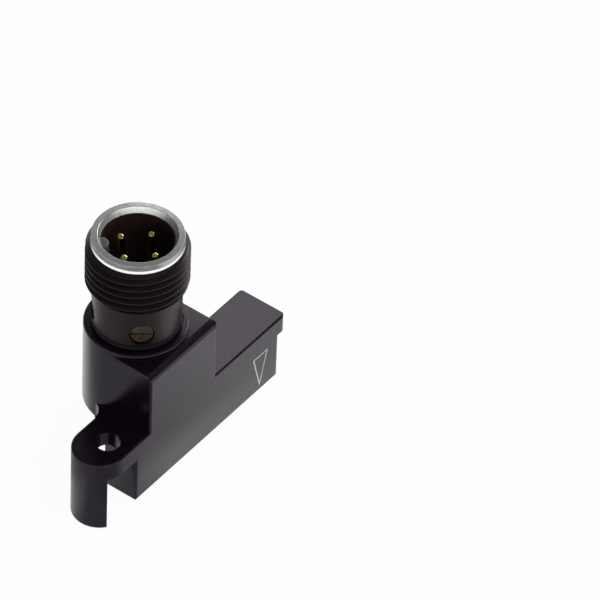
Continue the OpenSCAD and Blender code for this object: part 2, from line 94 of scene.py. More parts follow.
def camera_axes():
    """Unit vectors of the camera: to the right, up and along the view."""
    ahead = Vector((
        math.sin(CAMERA_TURN) * math.cos(CAMERA_DROP),
        math.cos(CAMERA_TURN) * math.cos(CAMERA_DROP),
        -math.sin(CAMERA_DROP),
    ))
    right = Vector((math.cos(CAMERA_TURN), -math.sin(CAMERA_TURN), 0))
    turn = Matrix.Rotation(-CAMERA_ROLL, 3, ahead)
    return turn @ right, turn @ right.cross(ahead), ahead


def make_camera():
    """A camera that shows the foot of the plug's axis at AXIS_PX, at CAMERA_DISTANCE."""
    right, up, ahead = camera_axes()
    per_px = CAMERA_DISTANCE / FOCAL_PX
    across = (AXIS_PX[0] - IMAGE_PX / 2) * per_px
    down = (AXIS_PX[1] - IMAGE_PX / 2) * per_px
    place = Vector((PLUG_X, PLUG_Y, 0)) - ahead * CAMERA_DISTANCE - right * across + up * down
    data = bpy.data.cameras.new("camera")
    data.sensor_width = SENSOR_MM
    data.lens = FOCAL_PX / IMAGE_PX * SENSOR_MM
    data.clip_start, data.clip_end = CLIP
    camera = bpy.data.objects.new("camera", data)
    turned = Matrix((right, up, -ahead)).transposed().to_4x4()
    camera.matrix_world = Matrix.Translation(place) @ turned
    bpy.context.scene.collection.objects.link(camera)
    bpy.context.scene.camera = camera
    return camera


camera = make_camera()
print("camera at", [round(v / MM, 1) for v in camera.matrix_world.translation], "lens", camera.data.lens)

# %% [markdown]
# ## Floor and light
#
# Black plastic shows almost nothing of its own colour. What the eye sees on it is the room: the
# upright faces mirror the white table in front of them and look dark grey, and the level faces
# mirror the dim space behind and above, and look black. A studio of real panels could be built
# for this, but they would be in the way of other views. So the table, the lamps and the room are
# set up for reflections on their own, and the camera sees plain white.

# %% Helpers for node materials
def make_material(name):
    """A material with one Principled shader, returned with its node tree and that shader."""
    material = bpy.data.materials.new(name)
    material.use_nodes = True
    tree = material.node_tree
    return material, tree, tree.nodes["Principled BSDF"]


def add_node(tree, kind, inputs=None, **settings):
    """Adds a node, with values for its inputs by name or number and settings by attribute."""
    node = tree.nodes.new(kind)
    for key, value in settings.items():
        setattr(node, key, value)
    for key, value in (inputs or {}).items():
        if isinstance(value, bpy.types.NodeSocket):
            tree.links.new(value, node.inputs[key])
        else:
            node.inputs[key].default_value = value
    return node


def object_coordinates(tree):
    """Where a point lies in its object's own axes, as a node output in metres."""
    return add_node(tree, "ShaderNodeTexCoord").outputs["Object"]


# %% Helpers for values in nodes
def map_range(tree, value, span, result, smooth=True):
    """A value moved from one pair of limits to another, as a node output."""
    node = add_node(tree, "ShaderNodeMapRange",
                    {"Value": value, "From Min": span[0], "From Max": span[1],
                     "To Min": result[0], "To Max": result[1]},
                    interpolation_type="SMOOTHSTEP" if smooth else "LINEAR")
    return node.outputs["Result"]


def combine(tree, operation, a, b):
    """Two values joined by the operation of a Math node, as a node output."""
    return add_node(tree, "ShaderNodeMath", {0: a, 1: b}, operation=operation).outputs[0]


def distance_from(tree, place, point):
    """How far a place lies from a point, as a node output."""
    node = add_node(tree, "ShaderNodeVectorMath", {0: place, 1: point}, operation="DISTANCE")
    return node.outputs["Value"]


# %% [markdown]
# ## The table
#
# In reflections the table is white far away, in front and behind, and dimmer beside and under the
# sensor. The dim zones are a painted shadow of the sensor, and the lighter zones close in front and
# by the claw are painted light; the lamps don't cast them. Cards on the table could do that, but
# the camera would see them. A ramp along x, along y or away from a point needs one node. A few
# ramps, multiplied or with the larger of two taken, draw every zone, and the Light Path node shows
# them to reflections alone.

# %% How white the table is in a reflection, with its painted shadow and light
GLOW_WHITE = 1.12
CLAW_GLOW_AT = Vector((-3, -1, -10.2)) * MM
# The ramps paint the sensor's shadow, and lighter zones round it, onto the table in reflections
GLOW_RAMPS = {
    # name: measured along, from and to in mm, its values there, smooth or straight
    "beside": ("x", (0, 28), (0.34, 0.95), False),
    "beside_back": ("y", (3, 8), (1.0, 0.65), True),
    "round_claw": ("from_claw", (8, 12), (1, 0), True),
    "claw_white": ("y", (-1, 3.5), (0.34, 0.80), True),
    "close": ("y", (-10, -4.5), (0, GLOW_WHITE), True),
    "close_x": ("x", (-2, 12), (0.4, 1.0), True),
    "right": ("y", (-12, -18), (0, GLOW_WHITE), True),
    "right_x": ("x", (4, 20), (0, 1.0), True),
    "under": ("y", (-2.8, -1), (1.0, 0.1), True),
    "under_x": ("x", (2, 4), (1.0, 0.0), True),
    "behind": ("y", (6, 14), (0, GLOW_WHITE), True),
    "behind_x": ("x", (-4, 8), (0.3, 1.0), True),
    "dimmer": ("from_plug", (31, 37), (1.0, 0.35), True),
    "far": ("from_plug", (48, 62), (0, GLOW_WHITE), True),
}


def mirrored_glow(tree):
    """How white the table is in a reflection: a painted shadow beside and under the sensor, white
    elsewhere.
    """
    place = object_coordinates(tree)
    split = add_node(tree, "ShaderNodeSeparateXYZ", {0: place}).outputs
    measures = {
        "x": split["X"],
        "y": split["Y"],
        "from_claw": distance_from(tree, place, CLAW_GLOW_AT),
        "from_plug": distance_from(tree, place, Vector((PLUG_X, PLUG_Y, 0))),
    }
    ramp = {
        name: map_range(tree, measures[along], (low * MM, high * MM), values, smooth)
        for name, (along, (low, high), values, smooth) in GLOW_RAMPS.items()
    }
    beside = combine(tree, "MULTIPLY", ramp["beside"], ramp["beside_back"])
    claw = combine(tree, "MULTIPLY", ramp["round_claw"], ramp["claw_white"])
    close = combine(tree, "MULTIPLY", ramp["close"], ramp["close_x"])
    right = combine(tree, "MULTIPLY", ramp["right"], ramp["right_x"])
    front = combine(tree, "MAXIMUM", combine(tree, "MAXIMUM", beside, claw),
                    combine(tree, "MAXIMUM", close, right))
    under = combine(tree, "MAXIMUM", ramp["under"], ramp["under_x"])
    behind = combine(tree, "MULTIPLY", ramp["behind"], ramp["behind_x"])
    near = combine(tree, "MAXIMUM", combine(tree, "MULTIPLY", front, under), behind)
    near = combine(tree, "MULTIPLY", near, ramp["dimmer"])
    return combine(tree, "MAXIMUM", near, ramp["far"])


# %% The table's material and shape
WHITE = (1, 1, 1, 1)
FLOOR_R, FLOOR_STEPS, FLOOR_PAINT = 3.0, 96, (0.85, 0.85, 0.85, 1)
SHADOW_SHARE = 0.04


def floor_material():
    """White for the camera with a faint shadow under the sensor, and in reflections with a painted
    shadow.
    """
    material = bpy.data.materials.new("floor_white")
    material.use_nodes = True
    tree = material.node_tree
    tree.nodes.clear()
    path = add_node(tree, "ShaderNodeLightPath")
    mirrored = combine(tree, "MAXIMUM", path.outputs["Is Glossy Ray"],
                       path.outputs["Is Transmission Ray"])
    seen = combine(tree, "MULTIPLY", path.outputs["Is Camera Ray"], 1 - SHADOW_SHARE)
    paint = add_node(tree, "ShaderNodeBsdfDiffuse", {"Color": FLOOR_PAINT})
    white = add_node(tree, "ShaderNodeEmission", {"Color": WHITE, "Strength": 1.0})
    # The glow's strength carries the painted shadow and light that reflections show on the table
    glow = add_node(tree, "ShaderNodeEmission", {"Color": WHITE, "Strength": mirrored_glow(tree)})
    table = add_node(tree, "ShaderNodeMixShader", {0: seen, 1: paint.outputs[0], 2: white.outputs[0]})
    mix = add_node(tree, "ShaderNodeMixShader", {0: mirrored, 1: table.outputs[0], 2: glow.outputs[0]})
    add_node(tree, "ShaderNodeOutputMaterial", {0: mix.outputs[0]})
    return material


def make_floor():
    """A round table top at the height of the claw's tip."""
    bm = bmesh.new()
    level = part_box("housing")[0].z
    bmesh.ops.create_circle(bm, cap_ends=True, segments=FLOOR_STEPS, radius=FLOOR_R,
                            matrix=Matrix.Translation((0, 0, level)))
    mesh = bpy.data.meshes.new("floor")
    bm.to_mesh(mesh)
    bm.free()
    floor = bpy.data.objects.new("floor", mesh)
    bpy.context.scene.collection.objects.link(floor)
    mesh.materials.append(floor_material())
    return level


floor_z = make_floor()
print("floor at", round(floor_z / MM, 2), "mm")

# %% [markdown]
# ## The lamps
#
# An area lamp's size sets how soft its light is. A large one above on the right fills in softly,
# and reflections don't show it, because it would be a bright square in every gloss. A smaller one
# behind on the right is shown. A small card stands where the block's level face mirrors it to the
# camera, which could also be done with a lighter room, but then the plate would turn grey too.

# %% Two lamps and a card
LAMP_DISTANCE = 0.5
CARD_AT = Vector((22, 0.4, 0)) * MM
CARD_DISTANCE = 45 * MM
CARD_SIDE, CARD_POWER = 0.024, 0.0033
LAMPS = {
    # name: (to the right, towards the camera, up), side in m, power in W, seen in reflections
    "fill_softbox": ((0.5, 0.35, 0.9), 0.60, 2.4, False),
    "side_softbox": ((0.6, -0.62, 0.50), 0.20, 0.5, True),
}


def photo_way(right, near, up):
    """A direction given as the camera sees it: to the right, towards the camera, and up."""
    across = Vector((math.cos(CAMERA_TURN), -math.sin(CAMERA_TURN), 0))
    forward = Vector((-math.sin(CAMERA_TURN), -math.cos(CAMERA_TURN), 0))
    return (across * right + forward * near + Vector((0, 0, up))).normalized()


def make_lamp(name, way, target, distance, side, power):
    """A square soft lamp that stands off from its target in the given direction."""
    data = bpy.data.lights.new(name, "AREA")
    data.shape = "SQUARE"
    data.size = side
    data.energy = power
    lamp = bpy.data.objects.new(name, data)
    lamp.rotation_euler = way.to_track_quat("Z", "Y").to_euler()
    lamp.location = target + way * distance
    lamp.visible_camera = False
    bpy.context.scene.collection.objects.link(lamp)
    return lamp


middle = (CAD_LOW + CAD_HIGH) / 2
for lamp_name, (way, side, power, mirrored) in LAMPS.items():
    lamp = make_lamp(lamp_name, photo_way(*way), middle, LAMP_DISTANCE, side, power)
    lamp.visible_glossy = mirrored
card_way = photo_way(0, -math.cos(CAMERA_DROP), math.sin(CAMERA_DROP))
make_lamp("reflector_card", card_way, CARD_AT, CARD_DISTANCE, CARD_SIDE, CARD_POWER)
print(len(LAMPS), "soft lamps and a card")

# %% [markdown]
# ## The room
#
# The world round the scene is the room. It is dim, a little lighter behind the sensor, and has a
# low white wall in front, which brightens the upright faces. An environment image could hold all
# this, but ramps over the direction are enough and can be changed one by one.

# %% The world's light
ROOM_FRONT, ROOM_BACK, ROOM_WHITE = 0.12, 0.33, 1.10
BACK_SIDE = (-0.80, -0.61)
WALL_TOP = (0.20, 0.52)
WALL_SIDE = (0.0, 0.5)


def room_light(tree):
    """Dim above, a little lighter behind the sensor, and a white low wall in front."""
    way = add_node(tree, "ShaderNodeTexCoord").outputs["Generated"]
    height = add_node(tree, "ShaderNodeSeparateXYZ", {0: way}).outputs["Z"]
    near = add_node(tree, "ShaderNodeVectorMath", {0: way, 1: photo_way(0, 1, 0)},
                    operation="DOT_PRODUCT").outputs["Value"]
    dim = map_range(tree, near, BACK_SIDE, (ROOM_BACK, ROOM_FRONT), smooth=False)
    low = map_range(tree, height, WALL_TOP, (1, 0))
    front = map_range(tree, near, WALL_SIDE, (0, 1))
    share = combine(tree, "MULTIPLY", low, front)
    wall = combine(tree, "MULTIPLY", share, ROOM_WHITE)
    return combine(tree, "MAXIMUM", dim, wall)


def make_room():
    """White behind the sensor for the camera, a dim room as light and in reflections."""
    world = bpy.data.worlds.new("room")
    bpy.context.scene.world = world
    world.use_nodes = True
    tree = world.node_tree
    tree.nodes.clear()
    path = add_node(tree, "ShaderNodeLightPath")
    room = add_node(tree, "ShaderNodeBackground", {"Color": WHITE, "Strength": room_light(tree)})
    white = add_node(tree, "ShaderNodeBackground", {"Color": WHITE})
    mix = add_node(tree, "ShaderNodeMixShader",
                   {0: path.outputs["Is Camera Ray"], 1: room.outputs[0], 2: white.outputs[0]})
    add_node(tree, "ShaderNodeOutputWorld", {0: mix.outputs[0]})
    bpy.context.scene.view_settings.view_transform = "Standard"


make_room()
print("room made")

# %% [markdown]
# ## Plastic finishes
#
# Every finish is made of nodes and reads Object coordinates, so it has the same scale on every
# piece, which an image that is wrapped round each piece wouldn't have. The housing is a satin
# black moulding with a fine eroded texture from its mould. Its edges could be rounded in the mesh,
# but the CAD shape stays as it is, so a Bevel node softens them in the shading alone. The plug's
# barrel is a little browner and more matt.

# %% Soft edges and grain
# The zone of the marking field in mm, where the shading keeps its edges sharp
FIELD_X, FIELD_Z, FIELD_Y = (5.0, 16.1), (-2.25, 7.95), -2.85
EDGE_SAMPLES = 6
GRAIN_DETAIL = 3.0


def edge_radius(tree, radius):
    """The soft edges' radius, which is nothing along the shallow step of the marking field."""
    place = add_node(tree, "ShaderNodeSeparateXYZ", {0: object_coordinates(tree)}).outputs
    inside = combine(tree, "LESS_THAN", place["Y"], FIELD_Y * MM)
    for axis, (low, high) in (("X", FIELD_X), ("Z", FIELD_Z)):
        for operation, limit in (("GREATER_THAN", low), ("LESS_THAN", high)):
            here = combine(tree, operation, place[axis], limit * MM)
            inside = combine(tree, "MULTIPLY", inside, here)
    return map_range(tree, inside, (0, 1), (radius, 0), smooth=False)


def grain_bump(tree, shader, scale, height, edge=0.0):
    """A fine even bump, as a mould's eroded surface leaves it. Scale is bumps per metre."""
    noise = add_node(tree, "ShaderNodeTexNoise",
                     {"Vector": object_coordinates(tree), "Scale": scale, "Detail": GRAIN_DETAIL})
    bump = add_node(tree, "ShaderNodeBump",
                    {"Height": noise.outputs["Fac"], "Distance": height, "Strength": 1.0})
    if edge:
        soft = add_node(tree, "ShaderNodeBevel", {"Radius": edge_radius(tree, edge)},
                        samples=EDGE_SAMPLES)
        tree.links.new(soft.outputs[0], bump.inputs["Normal"])
    tree.links.new(bump.outputs[0], shader.inputs["Normal"])


# %% Colour and gloss that drift
DRIFT_DETAIL, DRIFT_SHARES = 4.0, (0.35, 0.65)
COLOR_DRIFT, GLOSS_DRIFT = 900, 2500


def mottled(tree, socket, low, high, scale):
    """A value or colour that drifts between low and high. Scale is patches per metre."""
    noise = add_node(tree, "ShaderNodeTexNoise",
                     {"Vector": object_coordinates(tree), "Scale": scale, "Detail": DRIFT_DETAIL})
    ramp = add_node(tree, "ShaderNodeValToRGB", {0: noise.outputs["Fac"]})
    for element, share, value in zip(ramp.color_ramp.elements, DRIFT_SHARES, (low, high)):
        element.position = share
        element.color = (*value, 1) if isinstance(value, tuple) else (value, value, value, 1)
    tree.links.new(ramp.outputs[0], socket)


def moulded_plastic(name, dark, light, smooth, rough, grain=9000, height=4e-6, sheen=(1, 1, 1),
                    edge=0.0):
    """A moulded plastic whose colour and gloss drift a little, with a fine grain."""
    material, tree, shader = make_material(name)
    mottled(tree, shader.inputs["Base Color"], dark, light, COLOR_DRIFT)
    mottled(tree, shader.inputs["Roughness"], smooth, rough, GLOSS_DRIFT)
    shader.inputs["Specular Tint"].default_value = (*sheen, 1)
    grain_bump(tree, shader, grain, height, edge=edge)
    return material


# %% The plastics
housing_plastic = moulded_plastic(
    "housing_plastic", (0.0040, 0.0012, 0.0048), (0.0056, 0.0020, 0.0066), 0.19, 0.26,
    grain=7000, height=1.6e-6, sheen=(0.93, 0.86, 1.0), edge=0.05 * MM)
barrel_plastic = moulded_plastic(
    "barrel_plastic", (0.0050, 0.0018, 0.0016), (0.0070, 0.0030, 0.0028), 0.32, 0.42,
    grain=7000, height=3e-6, sheen=(1.0, 0.85, 0.88))
carrier_plastic = moulded_plastic(
    "carrier_plastic", (0.014, 0.007, 0.006), (0.020, 0.011, 0.010), 0.45, 0.6)
chip_plastic = moulded_plastic("chip_plastic", (0.012, 0.012, 0.013), (0.022, 0.022, 0.024), 0.5, 0.65)
resistor_film = moulded_plastic("resistor_film", (0.01, 0.01, 0.01), (0.02, 0.02, 0.02), 0.2, 0.3)
capacitor_ceramic = moulded_plastic("capacitor_ceramic", (0.30, 0.20, 0.11), (0.38, 0.27, 0.15), 0.4, 0.5)
potting_resin = moulded_plastic(
    "potting_resin", (0.04, 0.034, 0.028), (0.06, 0.05, 0.042), 0.4, 0.55, grain=3000, height=2e-5)
seal_rubber = moulded_plastic(
    "seal_rubber", (0.003, 0.003, 0.003), (0.005, 0.005, 0.005), 0.5, 0.65,
    grain=12000, height=6e-6, sheen=(0.25, 0.25, 0.25))
gasket_rubber = moulded_plastic("gasket_rubber", (0.05, 0.05, 0.055), (0.07, 0.07, 0.075), 0.6, 0.75)
led_resin = moulded_plastic("led_resin", (0.80, 0.74, 0.44), (0.88, 0.84, 0.56), 0.12, 0.2)
board_mask = moulded_plastic(
    "board_mask", (0.012, 0.09, 0.04), (0.018, 0.13, 0.06), 0.22, 0.35, grain=4000, height=6e-6)
LEAD_TINTS = {"brown": (0.15, 0.06, 0.025), "white": (0.80, 0.78, 0.74),
              "blue": (0.03, 0.09, 0.40), "black": (0.012, 0.012, 0.012)}
lead_plastics = [
    moulded_plastic("lead_" + tint, tuple(0.9 * v for v in color), color, 0.35, 0.5)
    for tint, color in LEAD_TINTS.items()
]
print("plastics made")

# %% [markdown]
# ## Metal finishes
#
# The rim is turned, which leaves fine rings round the plug's axis, and then nickel-plated. The
# pins are smoother and gold-plated. The rings could be cut into the mesh, but they are far too
# fine for that. A wave texture in the form of rings needs only a centre and a scale, and a very
# low bump from it breaks up the highlights.

# %% Plated metals
RING_WOBBLE, RING_DETAIL = 1.5, 2.0
PLATING_SPREAD, PLATING_DRIFT = (0.85, 1.2), 1500


def plated_metal(name, color, roughness, ring_scale, ring_height, metallic=1.0):
    """A turned and plated metal: fine rings round the plug's axis, a little uneven in gloss."""
    material, tree, shader = make_material(name)
    shader.inputs["Base Color"].default_value = (*color, 1)
    shader.inputs["Metallic"].default_value = metallic
    place = add_node(tree, "ShaderNodeMapping",
                     {"Vector": object_coordinates(tree), "Location": (-PLUG_X, -PLUG_Y, 0)})
    wave = add_node(tree, "ShaderNodeTexWave",
                    {"Vector": place.outputs[0], "Scale": ring_scale, "Distortion": RING_WOBBLE,
                     "Detail": RING_DETAIL}, wave_type="RINGS", rings_direction="Z")
    bump = add_node(tree, "ShaderNodeBump",
                    {"Height": wave.outputs["Fac"], "Distance": ring_height, "Strength": 1.0})
    tree.links.new(bump.outputs[0], shader.inputs["Normal"])
    low, high = (roughness * share for share in PLATING_SPREAD)
    mottled(tree, shader.inputs["Roughness"], low, high, PLATING_DRIFT)
    return material


nickel = plated_metal(
    "nickel", (0.88, 0.88, 0.865), roughness=0.22, ring_scale=2500, ring_height=6e-8)
satin_nickel = plated_metal(
    "satin_nickel", (0.99, 0.99, 0.98), roughness=0.22, ring_scale=1500, ring_height=1.5e-7,
    metallic=0.8)
dull_nickel = plated_metal(
    "dull_nickel", (0.10, 0.095, 0.098), roughness=0.45, ring_scale=2500, ring_height=1e-7,
    metallic=0.4)
gold_plating = plated_metal(
    "gold_plating", (1.0, 0.83, 0.27), roughness=0.08, ring_scale=5000, ring_height=2e-7)
print("metals made")

# %% [markdown]
# ## Amber and paint
#
# The windows are a clear amber moulding that looks nearly black while nothing glows behind it. It
# could let light through, as glass does, but with a dark shank behind it that would hardly show,
# so it is a glossy dark surface. The arrow's paint is light grey and drifts more in colour than
# the mouldings do.

# %% Clear and painted finishes
def amber_plastic():
    """A clear smoky amber moulding, dark where nothing glows behind it."""
    material, tree, shader = make_material("amber_plastic")
    mottled(tree, shader.inputs["Base Color"], (0.030, 0.021, 0.012), (0.052, 0.038, 0.023), scale=1200)
    mottled(tree, shader.inputs["Roughness"], 0.18, 0.30, GLOSS_DRIFT)
    grain_bump(tree, shader, scale=3000, height=3e-6)
    return material


def mark_paint():
    """The light grey paint in the engraved arrow, a little worn and uneven."""
    material, tree, shader = make_material("mark_paint")
    mottled(tree, shader.inputs["Base Color"], (0.42, 0.40, 0.37), (0.66, 0.64, 0.60), scale=3500)
    mottled(tree, shader.inputs["Roughness"], 0.42, 0.58, GLOSS_DRIFT)
    grain_bump(tree, shader, scale=12000, height=6e-6)
    return material


amber = amber_plastic()
paint = mark_paint()
print("amber and paint made")

# %% [markdown]
# ## Carried-over pieces
#
# The CAD shapes of the housing, the pins and the seal are right as they are. They only need their
# finish, which goes into the object's material slot. The mesh itself is left alone. The barrel,
# the rim and the light guide get a finish too, although finer pieces take their place below.

# %% Give the CAD pieces their finish
FINISH = {
    "housing": housing_plastic, "base_cover": housing_plastic, "connector_body": barrel_plastic,
    "rim_sleeve": nickel, "contact_carrier": carrier_plastic, "light_guide": amber,
    "seal_ring": seal_rubber, "carrier_seal": gasket_rubber, "connector_board": board_mask,
    "main_board": board_mask, "sensor_chip": chip_plastic, "amplifier_chip": chip_plastic,
    "voltage_regulator": chip_plastic, "output_transistor": chip_plastic,
    "protection_diodes": chip_plastic, "resistors": resistor_film,
    "capacitors": capacitor_ceramic, "indicator_leds": led_resin, "potting": potting_resin,
}
FINISH.update({f"contact_pin_{i}": gold_plating for i in range(1, 5)})
FINISH.update({f"lead_wire_{i + 1}": lead_plastics[i] for i in range(4)})
for node_name, finish in FINISH.items():
    for slot in nodes[node_name].material_slots:
        slot.material = finish
print("without a finish:", sorted(set(nodes) - set(FINISH)))


# %% Helpers for new pieces
# Edges that turn by more than this many degrees stay sharp, on most pieces and on finer ones
SHARP, SHARP_FINE = 28, 6


def shade_smooth(mesh, sharp=SHARP):
    """Smooth shading, apart from edges that turn by more than the given degrees."""
    for polygon in mesh.polygons:
        polygon.use_smooth = True
    mesh.set_sharp_from_angle(angle=math.radians(sharp))


def finish_piece(bm, name, material, replaced=(), sharp=SHARP):
    """Turns a bmesh into a smooth-shaded piece that rides with the sensor."""
    bmesh.ops.recalc_face_normals(bm, faces=bm.faces)
    mesh = bpy.data.meshes.new(name)
    bm.to_mesh(mesh)
    bm.free()
    mesh.materials.append(material)
    piece = bpy.data.objects.new(name, mesh)
    bpy.context.scene.collection.objects.link(piece)
    shade_smooth(mesh, sharp)
    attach(piece, "root")
    if replaced:
        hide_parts(*replaced)
    print(name, len(mesh.polygons), "faces")
    return piece


# %% [markdown]
# ## The threaded barrel
#
# In CAD the M12 x 1 thread is a plain cylinder. Here it is a true helix, made the way a lathe
# makes it. First the barrel's outline is spun round its axis into a smooth blank, chamfered at
# both ends. Then a tool with the shape of one groove is swept along the helix and subtracted from
# the blank with a Boolean modifier. The spin operator makes the helix too, when it moves up by a
# little at each step. Grooves that run out over a chamfer then look as they do on a turned part.

# %% The barrel's outline
SPIGOT_BORE, SPIGOT_R, SPIGOT_Z, SPIGOT_EDGE = 3.5, 4.2, 6.85, 0.2
SHANK_R, SHANK_Z = 5.2, 10.05
THREAD_R, THREAD_FOOT, THREAD_TOP = 6.0, 15.6, 21.0
CHAMFER, CONE_R, CONE_Z = 0.35, 5.33, 21.6
SLEEVE_R0, SLEEVE_R1, MOUTH_Z, LEDGE_Z = 4.56, 4.86, 14.5, 13.3
GUIDE_R, GUIDE_Z = 4.4, 10.4
BARREL_STEPS = 192
EDGE_R = 0.12

BARREL_OUTLINE = [
    (SPIGOT_BORE, SPIGOT_Z), (SPIGOT_R - SPIGOT_EDGE, SPIGOT_Z), (SPIGOT_R, SPIGOT_Z + SPIGOT_EDGE),
    (SPIGOT_R, SHANK_Z), (SHANK_R - EDGE_R, SHANK_Z), (SHANK_R, SHANK_Z + EDGE_R),
    (SHANK_R, THREAD_FOOT - EDGE_R), (SHANK_R + EDGE_R, THREAD_FOOT),
    (THREAD_R - CHAMFER, THREAD_FOOT), (THREAD_R, THREAD_FOOT + CHAMFER),
    (THREAD_R, THREAD_TOP), (CONE_R, CONE_Z),
    (SLEEVE_R1, CONE_Z), (SLEEVE_R1, MOUTH_Z), (SLEEVE_R0, MOUTH_Z),
    (SLEEVE_R0, LEDGE_Z), (GUIDE_R, LEDGE_Z), (GUIDE_R, GUIDE_Z), (SPIGOT_BORE, GUIDE_Z),
]
print(len(BARREL_OUTLINE), "corners in the barrel's outline")


# %% The barrel's blank
def spin_profile(bm, points, steps):
    """Spins points (radius, height) in mm round the plug's axis into a closed skin."""
    rail = [bm.verts.new((PLUG_X + r * MM, PLUG_Y, z * MM)) for r, z in points]
    edges = [bm.edges.new(pair) for pair in zip(rail, rail[1:] + rail[:1])]
    bmesh.ops.spin(bm, geom=rail + edges, cent=(PLUG_X, PLUG_Y, 0), axis=(0, 0, 1),
                   angle=math.tau, steps=steps, use_merge=True)


bm = bmesh.new()
spin_profile(bm, BARREL_OUTLINE, BARREL_STEPS)
barrel = finish_piece(bm, "threaded_barrel", barrel_plastic, ["connector_body"])

# %% The tool for the thread
PITCH = 1.0
CREST_W, ROOT_W = PITCH / 8, PITCH / 4
FLANK_SLOPE = math.tan(math.radians(30))
GROOVE_DEPTH = (PITCH - CREST_W - ROOT_W) / 2 / FLANK_SLOPE
# The helix is turned so that a crest has this height at the side that faces the camera
CREST_Z, FRONT_TURN = 20.4, math.radians(218)
TOOL_REACH, TOOL_TURNS, TURNS_ABOVE = 0.3, 8, 2


def thread_tool():
    """A groove's section swept along a right-hand helix, from below the thread to above it."""
    bm = bmesh.new()
    half = ROOT_W / 2 + (GROOVE_DEPTH + TOOL_REACH) * FLANK_SLOPE
    r0, r1 = THREAD_R - GROOVE_DEPTH, THREAD_R + TOOL_REACH
    turns_below = TOOL_TURNS - TURNS_ABOVE
    start_z = CREST_Z + PITCH / 2 - turns_below * PITCH - FRONT_TURN / math.tau * PITCH
    section = [(r0, -ROOT_W / 2), (r1, -half), (r1, half), (r0, ROOT_W / 2)]
    verts = [bm.verts.new((PLUG_X + r * MM, PLUG_Y, (start_z + z) * MM)) for r, z in section]
    face = bm.faces.new(verts)
    steps = BARREL_STEPS * TOOL_TURNS
    bmesh.ops.spin(bm, geom=[face, *face.edges, *face.verts], cent=(PLUG_X, PLUG_Y, 0),
                   axis=(0, 0, 1), dvec=(0, 0, PITCH * MM / BARREL_STEPS),
                   angle=math.tau * TOOL_TURNS, steps=steps)
    return bm


print("groove", round(GROOVE_DEPTH, 3), "mm deep")


# %% Cut the thread
def close_ends(bm):
    """Caps every open end, because a Boolean needs closed shapes. Returns what is still open."""
    ends = [e for e in bm.edges if e.is_boundary]
    if ends:
        bmesh.ops.holes_fill(bm, edges=ends, sides=0)
    bmesh.ops.recalc_face_normals(bm, faces=bm.faces)
    return sum(not e.is_manifold for e in bm.edges)


def subtract(piece, bm):
    """Cuts the bmesh out of the piece with a Boolean modifier and applies it."""
    still_open = close_ends(bm)
    mesh = bpy.data.meshes.new("tool")
    bm.to_mesh(mesh)
    bm.free()
    tool = bpy.data.objects.new("tool", mesh)
    bpy.context.scene.collection.objects.link(tool)
    cut = piece.modifiers.new("cut", "BOOLEAN")
    cut.object = tool
    cut.operation = "DIFFERENCE"
    cut.solver = "EXACT"
    bpy.context.view_layer.update()
    done = piece.evaluated_get(bpy.context.evaluated_depsgraph_get())
    mesh = bpy.data.meshes.new_from_object(done)
    piece.modifiers.clear()
    piece.data = mesh
    bpy.data.objects.remove(tool)
    shade_smooth(mesh)
    print(piece.name, len(mesh.polygons), "faces after the cut, open edges in the tool:", still_open)


subtract(barrel, thread_tool())

# %% [markdown]
# ## The windows
#
# Four round windows in the shank let light out from the board behind them. The barrel gets its
# four holes from a Boolean modifier, which is the usual way to drill a finished shape in Blender.
# Each window is a stud with a soft edge and a fine slot across its face. A Boolean needs closed
# shapes, so the studs and every cutting shape are closed first. The slots are cut from the studs
# alone, and the ring that carries the studs is added after that.

# %% Drill the barrel
WINDOW_R, WINDOW_Z, WINDOW_STEPS = 1.45, 11.8, 64
DRILL_DEPTH = 2
WINDOW_TURNS = [math.radians(45 + 90 * i) for i in range(4)]


def window_frame(turn, reach):
    """A matrix that puts a disc drawn flat at the origin at the given reach, facing outwards."""
    return (Matrix.Translation((PLUG_X, PLUG_Y, WINDOW_Z * MM)) @ Matrix.Rotation(turn, 4, "Z")
            @ Matrix.Translation((reach * MM, 0, 0)) @ Matrix.Rotation(math.pi / 2, 4, "Y"))


def window_drill():
    """Four round drills through the shank."""
    bm = bmesh.new()
    for turn in WINDOW_TURNS:
        bmesh.ops.create_cone(bm, cap_ends=True, segments=WINDOW_STEPS, radius1=WINDOW_R * MM,
                              radius2=WINDOW_R * MM, depth=DRILL_DEPTH * MM,
                              matrix=window_frame(turn, SHANK_R))
    return bm


subtract(barrel, window_drill())


# %% The four windows
WINDOW_FACE_R, WINDOW_GAP, STUD_ROOT = 4.95, 0.12, 0.2
WINDOW_EDGE, WINDOW_EDGE_STEPS = 0.14, 4


def extrude(bm, faces, by):
    """Extrudes faces by a vector and keeps their other end. Returns the edges of the new end."""
    raised = bmesh.ops.extrude_face_region(bm, geom=faces, use_keep_orig=True)["geom"]
    bmesh.ops.translate(bm, verts=[g for g in raised if isinstance(g, bmesh.types.BMVert)], vec=by)
    return [g for g in raised if isinstance(g, bmesh.types.BMEdge)]


def round_edges(bm, edges, size, segments):
    """Bevels edges into a round of the given size in mm."""
    bmesh.ops.bevel(bm, geom=edges, offset=size * MM, segments=segments, profile=0.5,
                    affect="EDGES", material=-1)


def add_window(bm, turn):
    """One stud: a disc with a rounded edge."""
    disc = bmesh.ops.create_circle(bm, cap_ends=True, segments=WINDOW_STEPS,
                                   radius=(WINDOW_R - WINDOW_GAP) * MM,
                                   matrix=window_frame(turn, GUIDE_R - STUD_ROOT))
    height = (WINDOW_FACE_R - GUIDE_R + STUD_ROOT) * MM
    out = Matrix.Rotation(turn, 3, "Z") @ Vector((height, 0, 0))
    front = extrude(bm, disc["verts"][0].link_faces[:], out)
    round_edges(bm, front, WINDOW_EDGE, WINDOW_EDGE_STEPS)


